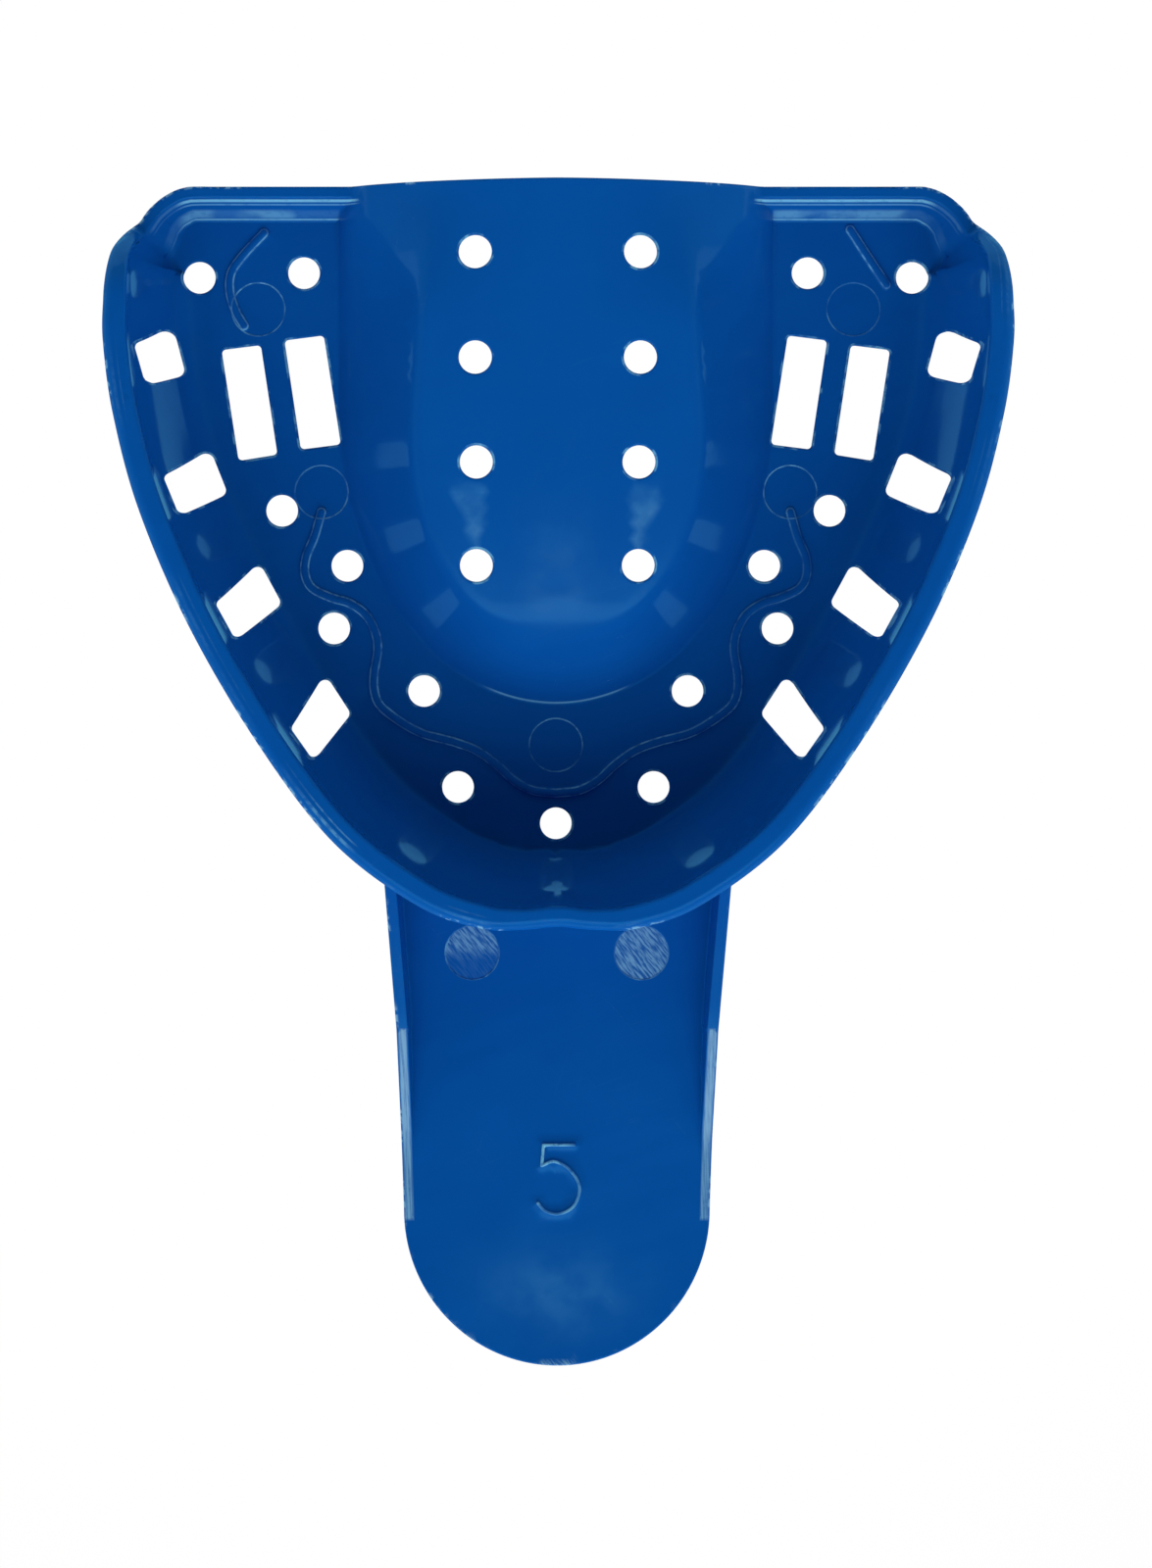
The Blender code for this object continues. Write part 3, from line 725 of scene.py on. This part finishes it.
def build_shell():
    from_corner = HALF_RIM[np.argmax(HALF_RIM[:, 0] > CORNER_X) :]
    rim_line = both_halves(from_corner[::2, :2])
    edge_x = np.arange(-CORNER_X + 0.3, CORNER_X - 0.1, 0.5)
    back_edge = np.stack([edge_x, np.full(len(edge_x), BACK_Y)], 1)
    outline = np.vstack([back_edge, rim_line])
    plate = Plate(outline, holes)
    count = len(outline)
    up = np.zeros((count, 2))
    up[: len(back_edge), 1] = 1.0
    dist = np.full(count, CLEAR)
    dist[: len(back_edge)] = 0.0
    plate.add(outline, dist=dist, toward=up, closed=True)
    for cut in holes:
        plate.add_cut(cut)
    inner = back_edge[2:-2]
    for d in RING[1:]:
        plate.add(inner - [0, d], dist=d, toward=np.tile([0.0, 1.0], (len(inner), 1)))
    add_features(plate, beads, BEAD, 0.045, FLOOR_DISCS)
    for d in CROWN_LINES:
        plate.add_line(mirrored_rim(d), 0.05, 0.04)
    add_wall_lines(plate)
    add_foot_lines(plate)
    add_grid(plate)
    return plate.build("tray_shell", shell_top_full, shell_bottom, shell_marks, throat_edge_radius)


# ---------------------------------------------------------------- handle
# half widths at the root, at the knee of the flanges and at the round end
ROOT_HALF, KNEE_HALF, END_HALF = 14.3, 13.38, 12.83
END_C = TIP_Y + END_HALF
ROOT_Y, KNEE_Y, RAMP_END = -8.8, -21.1, -37.5
PLATE_T = 2.0
# the side flanges: width, height over the plate at the root and at the knee
FLANGE_W, FLANGE_ROOT_H, FLANGE_KNEE_H = 0.95, 7.0, 3.1
# the grip curls up past this line
CURL_Y, CURL = -28.5, 1.0


def grip_half(y):
    """Half width of the handle."""
    return np.where(
        y > KNEE_Y,
        KNEE_HALF + (ROOT_HALF - KNEE_HALF) * (y - KNEE_Y) / (ROOT_Y - KNEE_Y),
        END_HALF + (KNEE_HALF - END_HALF) * np.clip((y - END_C) / (KNEE_Y - END_C), 0, 1),
    )


def grip_rise(y):
    return CURL * np.clip((CURL_Y - y) / (CURL_Y - TIP_Y), 0, 1.1) ** 2


def flange_top(y):
    """Height of the side flanges over the plate."""
    root = FLANGE_ROOT_H + (FLANGE_KNEE_H - FLANGE_ROOT_H) * (ROOT_Y - y) / (ROOT_Y - KNEE_Y)
    ramp = FLANGE_KNEE_H * (y - RAMP_END) / (KNEE_Y - RAMP_END)
    return smin(root, ramp, 0.25)


# profile of the raised digit: distance from the centre line, height
DIGIT = np.array([(0, 0.2), (0.07, 0.19), (0.12, 0.155), (0.16, 0.1), (0.2, 0.03), (0.24, 0.0)])


def digit_five():
    """Centre line of the size number: bar, short upright, bowl."""
    corners = np.array([(1.44, -31.13), (-1.12, -31.13), (-1.27, -32.85)])
    bowl = [
        (-1.27, -32.85), (-0.16, -32.52), (1.12, -33.25), (1.9, -34.65),
        (1.44, -36.2), (0.17, -36.9), (-0.98, -36.65), (-1.59, -36.0),
    ]
    out = [corners[0]]
    for p, q in zip(corners[:-1], corners[1:]):
        m = int(np.linalg.norm(q - p) / 0.2)
        out += [p + (q - p) * k / m for k in range(1, m + 1)]
    return np.vstack([out, catmull(bowl, 0.2)[1:]])


five = digit_five()
FLANGE_SLOPE = 14.0
GRIP_DISCS = [(7.1, -15.0), (-7.1, -15.0)]


def grip_top(x, y):
    plate_z = GRIP_Z + PLATE_T + grip_rise(y)
    plate_z = plate_z - recess(x, y, GRIP_DISCS) + bump(x, y, five, DIGIT)
    side = grip_half(y) - np.abs(x)
    side = np.where(y < END_C, 99.0, side)
    face = flange_top(y) - np.maximum(side - FLANGE_W, 0) * FLANGE_SLOPE
    flange = smax(face, np.zeros_like(x), 0.5) * (face > -0.6)
    return np.where(y < RAMP_END - 0.5, plate_z, plate_z + flange)


def grip_bottom(x, y):
    return GRIP_Z + grip_rise(y)


def grip_marks(x, y):
    """As shell_marks: matt on the flanges' ramps, in the ejector-pin marks and at the gate on the tip;
    painted highlight lines along the digit's edges and a painted sheen patch near the tip.
    """
    side = grip_half(y) - np.abs(x)
    ramp = step((side - 0.08) / 0.08) * step((0.86 - side) / 0.08)
    ramp = ramp * (y < KNEE_Y) * (y > RAMP_END + 0.1)
    gaps = disc_gaps(x, y, GRIP_DISCS)
    worn = [0.95, 0.12 + 0.7 * step((y + 15.6) / 1.2)]
    matt = np.max([w * (gap < -0.02) for w, gap in zip(worn, gaps)], axis=0)
    tip = END_HALF - np.hypot(x, y - END_C)
    flash = step((1.7 - np.abs(x)) / 0.5) * step((0.45 - tip) / 0.15) * (y < END_C)
    far = np.full_like(x, GAP_LIMIT)
    return {
        "matt": np.max([matt, ramp, flash], axis=0),
        "edge": np.clip(1 - np.where(y < END_C, tip, side) / 0.4, 0, 1),
        "lip_gap": far,
        "cove_gap": far,
        "dam": np.zeros_like(x),
        "bead_gap": gap_to(nearest(np.stack([x, y], 1), five)[0] - 0.06),
        "bead_glint": np.full_like(x, 0.9),
        "disc_gap": gap_to(np.min(gaps, axis=0)),
        "foot_gap": far,
        "foot": np.zeros_like(x),
        # painted sheen near the tip
        "painted_sheen": np.exp(-((x / 5.5) ** 2) - ((y + 43.5) / 3.2) ** 2),
    }


# the handle's sides end this far in from the rim's outer edge
ROOT_DEPTH = 1.95
# distances in from the side of the lines of points along the flanges
FLANGE_LINES = (0.45, 0.7, 0.88) + tuple(FLANGE_W + k for k in (0.0, 0.06, 0.15, 0.25, 0.4, 0.6, 0.8))
# places of the lines of points across them
BREAK_LINES = (KNEE_Y + 0.25, KNEE_Y, KNEE_Y - 0.25, RAMP_END + 0.3, RAMP_END, RAMP_END - 0.5)


def grip_outline():
    """The handle's sides and end, then its root, which follows the wall just inside its outer face."""
    ys = np.arange(-7.6, END_C, -0.45)
    right = np.stack([grip_half(ys), ys], 1)
    a = np.linspace(0, math.pi, 90)
    end = np.stack([END_HALF * np.cos(a), END_C - END_HALF * np.sin(a)], 1)
    side = np.vstack([right, end, (right * FLIP_X)[::-1]])
    side = side[rim_frame(side[:, 0], side[:, 1])[0] < ROOT_DEPTH]
    base = half_rim(0.3)
    root = offset_line(base, (1.2 + 0.7 * (base[:, 0] / 14) ** 2)[:, None])
    root = root[(root[:, 0] < side[0, 0] - 0.15) & (root[:, 0] > 0.1) & (root[:, 1] < 0)]
    return side, np.vstack([root * FLIP_X, root[::-1]])


def build_grip():
    side, root = grip_outline()
    outline = np.vstack([side, root])
    plate = Plate(outline, [])
    out = -right_of(np.roll(outline, -1, 0) - np.roll(outline, 1, 0))
    on_side = np.arange(len(outline)) < len(side)
    dist = np.where(on_side, 0.0, CLEAR)
    plate.add(outline, dist=dist, toward=np.where(on_side[:, None], out, 0.0), closed=True)
    ring_src, ring_out = side[1:-1], out[: len(side)][1:-1]
    for r in RING[1:]:
        plate.add(ring_src - ring_out * r, dist=r, toward=ring_out)
    add_features(plate, [five], DIGIT, 0.03, GRIP_DISCS)
    ys = np.arange(-7.8, RAMP_END - 0.6, -0.45)
    for r in FLANGE_LINES:
        for s in (1, -1):
            plate.add_line(np.stack([s * (grip_half(ys) - r), ys], 1), 0.045)
    for y in BREAK_LINES:
        for s in (1, -1):
            plate.add_line(np.stack([s * np.linspace(11.6, 13.9, 16), np.full(16, y)], 1), 0.06)
    add_grid(plate)
    return plate.build("tray_handle", grip_top, grip_bottom, grip_marks)


shell = build_shell()
grip = build_grip()

# ---------------------------------------------------------------- material


class Nodes:
    """Short-hand for wiring a shader tree."""

    def __init__(self, tree):
        self.tree = tree

    def feed(self, node, values):
        """Sets a node's inputs, by link where the value is another node's output."""
        for key, value in values.items():
            if isinstance(value, bpy.types.NodeSocket):
                self.tree.links.new(value, node.inputs[key])
            else:
                node.inputs[key].default_value = value
        return node

    def add(self, kind, values=None, **settings):
        node = self.tree.nodes.new("ShaderNode" + kind)
        for key, value in settings.items():
            setattr(node, key, value)
        return self.feed(node, values or {})

    def math(self, operation, *values, clamp=False):
        node = self.add("Math", dict(enumerate(values)), operation=operation)
        node.use_clamp = clamp
        return node.outputs[0]

    def times(self, first, *more):
        for value in more:
            first = self.math("MULTIPLY", first, value)
        return first

    def most(self, first, *more):
        for value in more:
            first = self.math("MAXIMUM", first, value)
        return first

    def axes(self, vector):
        return self.add("SeparateXYZ", {0: vector}).outputs

    def dot(self, a, b):
        return self.add("VectorMath", {0: a, 1: b}, operation="DOT_PRODUCT").outputs["Value"]

    def noise(self, vector, scale, detail=2.0, rough=0.5):
        values = {"Vector": vector, "Scale": scale, "Detail": detail, "Roughness": rough}
        return self.add("TexNoise", values).outputs["Fac"]

    def ramp(self, value, lo, hi, to_lo=0.0, to_hi=1.0):
        values = {"Value": value, "From Min": lo, "From Max": hi, "To Min": to_lo, "To Max": to_hi}
        return self.add("MapRange", values, interpolation_type="SMOOTHSTEP").outputs[0]

    def line(self, value, centre, width):
        """1 where the value is near the centre, 0 past the width."""
        gap = self.math("ABSOLUTE", self.math("SUBTRACT", value, centre))
        return self.ramp(gap, width * 0.35, width, 1.0, 0.0)

    def mark(self, name):
        return self.add("Attribute", attribute_name=name).outputs["Fac"]

    def stretched(self, vector, turn, scale):
        values = {"Vector": vector, "Rotation": (0.0, 0.0, turn), "Scale": scale}
        return self.add("Mapping", values, vector_type="TEXTURE").outputs[0]

    def blend(self, factor, a, b):
        return self.add("Mix", {0: factor, 6: a, 7: b}, data_type="RGBA").outputs[2]


# base colour, its darker and paler drifts, scuffed skin, painted highlight lines along corners, painted sheen
# patches
BLUE = (0.0020, 0.1150, 0.5100, 1)
BLUE_DEEP = (0.0018, 0.1070, 0.4880, 1)
BLUE_CLOUD = (0.0026, 0.1230, 0.5300, 1)
SCUFFED = (0.2200, 0.5600, 0.8800, 1)
GLEAM = (0.2400, 0.7000, 1.0000, 1)
PAINTED_SHEEN = (0.1000, 0.5200, 0.9500, 1)
IOR = 1.55
BUMP_DEPTH = 4.0e-6
# between these distances from the midline the brushed look gives way to the scraped one
FLANGE_X = (11.0, 11.5)


def dam_gleam(n, across, patch, speckle):
    """Painted highlight lines on the low end walls' rounded corners, and a painted reflection band at their
    foot.
    """
    lip, cove = n.mark("lip_gap"), n.mark("cove_gap")
    corners = n.most(n.line(lip, 0.08, 0.14), n.times(n.line(lip, 0.36, 0.08), 0.5))
    band = n.times(n.line(cove, -0.45, 0.42), n.ramp(patch, 0.42, 0.6, 0.12, 0.5))
    band = n.most(band, n.times(n.line(cove, -0.05, 0.09), 0.7))
    band = n.times(band, n.ramp(across, 18.3, 18.6))
    lines = n.times(n.most(corners, band), n.mark("dam"), n.ramp(speckle, 0.3, 0.5, 0.7, 1.0))
    return n.times(lines, n.ramp(across, 31.2, 32.4, 1.0, 0.2))


def painted_glints(n, mm):
    """Thin pale painted highlight lines along moulded corners, beads, disc edges, the palate's foot, the
    rim's crown and the holes' edges, broken up along their length.
    """
    patch = n.noise(mm, 0.22, 2.0)
    speckle = n.noise(mm, 1.4, 3.0, 0.6)
    patchy = n.ramp(patch, 0.38, 0.62, 0.25, 1.0)
    broken = n.ramp(speckle, 0.36, 0.56, 0.3, 1.0)
    axes = n.axes(mm)
    dam = dam_gleam(n, n.math("ABSOLUTE", axes[0]), patch, speckle)
    bead = n.times(n.line(n.mark("bead_gap"), 0.0, 0.09), n.mark("bead_glint"), patchy, broken)
    disc = n.times(n.line(n.mark("disc_gap"), 0.02, 0.09), 0.55, patchy, broken)
    foot = n.times(n.line(n.mark("foot_gap"), 0.02, 0.11), n.mark("foot"), 0.6)
    lip = n.mark("lip_gap")
    crown = n.most(n.line(lip, -1.35, 0.2), n.line(lip, -0.85, 0.1))
    crown = n.times(crown, n.ramp(n.noise(mm, 0.085, 2.0), 0.47, 0.60, 0.0, 0.42))
    crown = n.times(crown, broken, n.ramp(axes[1], -2.0, 3.0, 1.0, 0.15))
    crown = n.times(crown, n.math("SUBTRACT", 1.0, n.mark("dam")))
    hole = n.ramp(n.noise(mm, 0.55, 2.0), 0.48, 0.58, 0.0, 0.6)
    hole = n.times(n.line(n.mark("hole_gap"), 0.12, 0.16), hole, broken)
    return n.most(dam, bead, n.most(disc, foot), crown, hole)


def scratch_lines(n, mm):
    """Sparse hair-thin scratches in three directions."""
    found = []
    for turn, lo in ((0.35, 0.715), (1.25, 0.73), (2.3, 0.725)):
        streak = n.noise(n.stretched(mm, turn, (5.0, 0.055, 2.0)), 1.0, 1.0)
        found.append(n.ramp(streak, lo, lo + 0.05))
    return n.times(n.most(*found), n.ramp(n.noise(mm, 0.13, 2.0), 0.45, 0.65))


def edge_nicks(n, mm):
    """Whitish nicks, in patches along the outer edge."""
    patches = n.ramp(n.noise(mm, 0.16, 2.0), 0.50, 0.60)
    specks = n.ramp(n.noise(mm, 1.5, 3.0), 0.48, 0.60)
    return n.times(patches, specks, n.ramp(n.mark("edge"), 0.25, 0.8))


def brush_strokes(n, mm):
    """Brushed ejector-pin marks near the middle, lengthwise scraping on the flanges, and where each shows."""
    brushed = n.noise(n.stretched(mm, -0.9, (1.3, 0.17, 1.0)), 1.0, 3.0, 0.6)
    scraped = n.noise(n.stretched(mm, 1.6, (5.0, 0.16, 1.0)), 1.0, 2.0, 0.5)
    across = n.math("ABSOLUTE", n.axes(mm)[0])
    strokes = n.times(brushed, n.ramp(across, FLANGE_X[0], FLANGE_X[1], 1.0, 0.0))
    strokes = n.math("ADD", strokes, n.times(scraped, n.ramp(across, *FLANGE_X)))
    faint = n.ramp(across, FLANGE_X[0], FLANGE_X[1], 0.1, 0.5)
    stroke = n.add("MapRange", {"Value": strokes, "From Min": 0.42, "From Max": 0.58, "To Min": faint})
    return strokes, stroke.outputs[0]


def plastic(name):
    """Injection-moulded blue polystyrene: glossy, faint flow marks and scratches, matt where marked, with
    painted highlight lines and painted sheen patches.
    """
    mat = bpy.data.materials.new(name)
    mat.use_nodes = True
    n = Nodes(mat.node_tree)
    place = n.add("TexCoord").outputs["Object"]
    mm = n.add("VectorMath", {0: place, 3: 1.0 / MM}, operation="SCALE").outputs[0]
    drift_and_sheen = n.noise(mm, 0.09, 3.0)
    flow = n.noise(n.stretched(mm, 0.3, (9.0, 2.2, 3.0)), 1.0, 3.0)
    grain = n.noise(mm, 3.2, 3.0, 0.6)
    peel = n.noise(mm, 0.75, 2.0)
    matt = n.mark("matt")
    scratches = scratch_lines(n, mm)
    strokes, stroke = brush_strokes(n, mm)
    # the upright cut and outer faces between the top and the underside stay unworn and get no painted
    # highlights
    facing_up = n.axes(n.add("NewGeometry").outputs["True Normal"])[2]
    topside = n.ramp(facing_up, 0.02, 0.1)
    worn = n.times(n.most(n.times(matt, stroke), edge_nicks(n, mm)), topside)
    # painted highlight lines along corners and edges, in the pale GLEAM colour
    gleam = n.times(painted_glints(n, mm), topside)
    # painted sheen: pale patches where reflections fall, also made a little rougher
    painted_sheen = n.times(n.mark("painted_sheen"), n.ramp(n.noise(mm, 0.35, 3.0), 0.3, 0.7, 0.10, 0.34))

    body = n.blend(n.ramp(drift_and_sheen, 0.3, 0.7), BLUE_DEEP, BLUE_CLOUD)
    body = n.blend(n.ramp(flow, 0.3, 0.7), body, BLUE)
    body = n.blend(n.times(worn, 0.85), body, SCUFFED)
    body = n.blend(n.times(scratches, 0.05), body, SCUFFED)
    body = n.blend(n.times(painted_sheen, 0.6), body, PAINTED_SHEEN)
    body = n.blend(gleam, body, GLEAM)
    rough = n.math("ADD", 0.05, n.ramp(grain, 0.3, 0.7, 0.0, 0.05))
    rough = n.math("ADD", rough, n.times(scratches, 0.18))
    rough = n.math("ADD", rough, n.times(painted_sheen, 0.3))
    rough = n.math("ADD", rough, n.times(worn, 0.38), clamp=True)

    height = n.math("ADD", peel, n.times(grain, 0.05))
    height = n.math("ADD", height, n.times(scratches, -0.15))
    height = n.math("ADD", height, n.times(matt, strokes, 8.0))
    bumps = n.add("Bump", {"Height": height, "Strength": 1.0, "Distance": BUMP_DEPTH})
    shader = mat.node_tree.nodes["Principled BSDF"]
    n.feed(shader, {"Base Color": body, "Roughness": rough, "IOR": IOR, "Normal": bumps.outputs[0]})
    return mat


blue = plastic("blue_polystyrene")
for obj, node in ((shell, "tray_body"), (grip, "handle")):
    obj.data.materials.append(blue)
    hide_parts(node)
    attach(obj, "root")

# ---------------------------------------------------------------- stage, light, camera
# metres: just under the object, and half the sheet's width
BENCH_Z = -5e-5
BENCH_HALF = 1.5
BENCH_WHITE = (0.80, 0.80, 0.80, 1)
BENCH_GLOW = 0.6
BENCH_SHEEN = (0.14, 0.62, 1.0, 1)
# what the skin mirrors comes back cool, as the saturated blue leaves no red in it
SHEEN = (0.04, 0.57, 1.0, 1)
SHEEN_SHARE = 0.36


def build_bench():
    """A white sheet: seen from straight above it is evenly white; from the side it shows a soft shadow."""
    mesh = bpy.data.meshes.new("bench")
    corners = [(-1, -1), (1, -1), (1, 1), (-1, 1)]
    mesh.from_pydata([(sx * BENCH_HALF, sy * BENCH_HALF, BENCH_Z) for sx, sy in corners], [], [(0, 1, 2, 3)])
    obj = bpy.data.objects.new("bench", mesh)
    bpy.context.scene.collection.objects.link(obj)
    paper = bpy.data.materials.new("bench_paper")
    paper.use_nodes = True
    n = Nodes(paper.node_tree)
    sheet = paper.node_tree.nodes["Principled BSDF"]
    n.feed(sheet, {"Base Color": BENCH_WHITE, "Roughness": 0.7})
    path = n.add("LightPath").outputs
    glow = n.add("Emission", {"Color": (1, 1, 1, 1), "Strength": 1.0})
    cool_glow = n.add("Emission", {"Color": BENCH_SHEEN, "Strength": BENCH_GLOW})
    facing = n.dot(n.add("NewGeometry").outputs["Incoming"], (0.0, 0.0, 1.0))
    from_above = n.ramp(facing, 0.80, 0.97, 0.72, 1.0)
    seen = n.times(from_above, path["Is Camera Ray"])
    mix = n.add("MixShader", {0: seen, 1: sheet.outputs[0], 2: glow.outputs[0]})
    mix = n.add("MixShader", {0: path["Is Glossy Ray"], 1: mix.outputs[0], 2: cool_glow.outputs[0]})
    paper.node_tree.links.new(mix.outputs[0], paper.node_tree.nodes["Material Output"].inputs[0])
    mesh.materials.append(paper)
    return obj


build_bench()

# the even surroundings: angles off the zenith and radiance there
ROOM = [(38.0, 0.04), (68.0, 0.66), (85.0, 0.95)]
# a broad soft box over the handle side: azimuth (0 along +X, 90 along +Y), and angles off the zenith
BOX_AZIMUTH, BOX_FLAT, BOX_FADE = 272.0, 20.0, 58.0
BOX_TILTS = (24.0, 40.0, 56.0, 66.0)
BOX_RADIANCE = 3.4
# how bright the surroundings look behind the object
BACKDROP = 0.93


def build_room():
    """Even pale surroundings that darken overhead, and one broad soft box."""
    world = bpy.data.worlds.new("room")
    world.use_nodes = True
    bpy.context.scene.world = world
    n = Nodes(world.node_tree)
    ray = n.add("TexCoord").outputs["Generated"]
    axes = n.axes(ray)
    tilt = n.math("DEGREES", n.math("ARCCOSINE", axes[2]))
    lo, mid, hi = ROOM
    ring = n.ramp(tilt, lo[0], mid[0], lo[1], mid[1])
    ring = n.math("ADD", ring, n.ramp(tilt, mid[0], hi[0], 0.0, hi[1] - mid[1]))
    level = n.add("CombineXYZ", {0: axes[0], 1: axes[1], 2: 0.0}).outputs[0]
    level = n.add("VectorMath", {0: level}, operation="NORMALIZE").outputs[0]
    turn = math.radians(BOX_AZIMUTH)
    toward = n.dot(level, (math.cos(turn), math.sin(turn), 0.0))
    off = n.math("DEGREES", n.math("ARCCOSINE", toward))
    box = n.ramp(off, BOX_FLAT, BOX_FADE, BOX_RADIANCE, 0.0)
    box = n.times(box, n.ramp(tilt, BOX_TILTS[0], BOX_TILTS[1]))
    box = n.times(box, n.ramp(tilt, BOX_TILTS[2], BOX_TILTS[3], 1.0, 0.0))
    path = n.add("LightPath").outputs
    share = n.ramp(path["Is Glossy Ray"], 0.0, 1.0, 1.0, SHEEN_SHARE)
    lit = n.times(n.math("ADD", ring, box), share)
    strength = n.add("Mix", {"Factor": path["Is Camera Ray"], "A": lit, "B": BACKDROP}, data_type="FLOAT")
    tint = n.blend(path["Is Glossy Ray"], (1.0, 1.0, 1.0, 1), SHEEN)
    back = world.node_tree.nodes["Background"]
    n.feed(back, {"Strength": strength.outputs[0], "Color": tint})


build_room()

# the camera looks straight down from this height over the trough's floor, off the middle plane
CAMERA_H = 300.0
CAMERA_X, CAMERA_Y = SIGHT
# picture size, where the optical axis meets it, and the picture's scale on the trough's floor
FRAME_W, FRAME_H = 1175, 1600
AXIS_PX = (507.2, 520.0)
FLOOR_PX_PER_MM = 11.95
cam = bpy.data.cameras.new("camera")
cam.sensor_fit = "VERTICAL"
cam.sensor_height = 36.0
cam.lens = FLOOR_PX_PER_MM * CAMERA_H / FRAME_H * cam.sensor_height
cam.shift_x = (FRAME_W / 2 - AXIS_PX[0]) / FRAME_H
cam.shift_y = -(FRAME_H / 2 - AXIS_PX[1]) / FRAME_H
cam_obj = bpy.data.objects.new("camera", cam)
cam_obj.location = (CAMERA_X * MM, CAMERA_Y * MM, (FLOOR_Z + CAMERA_H) * MM)
bpy.context.scene.collection.objects.link(cam_obj)
bpy.context.scene.camera = cam_obj
bpy.context.scene.view_settings.view_transform = "Standard"

bpy.context.view_layer.update()
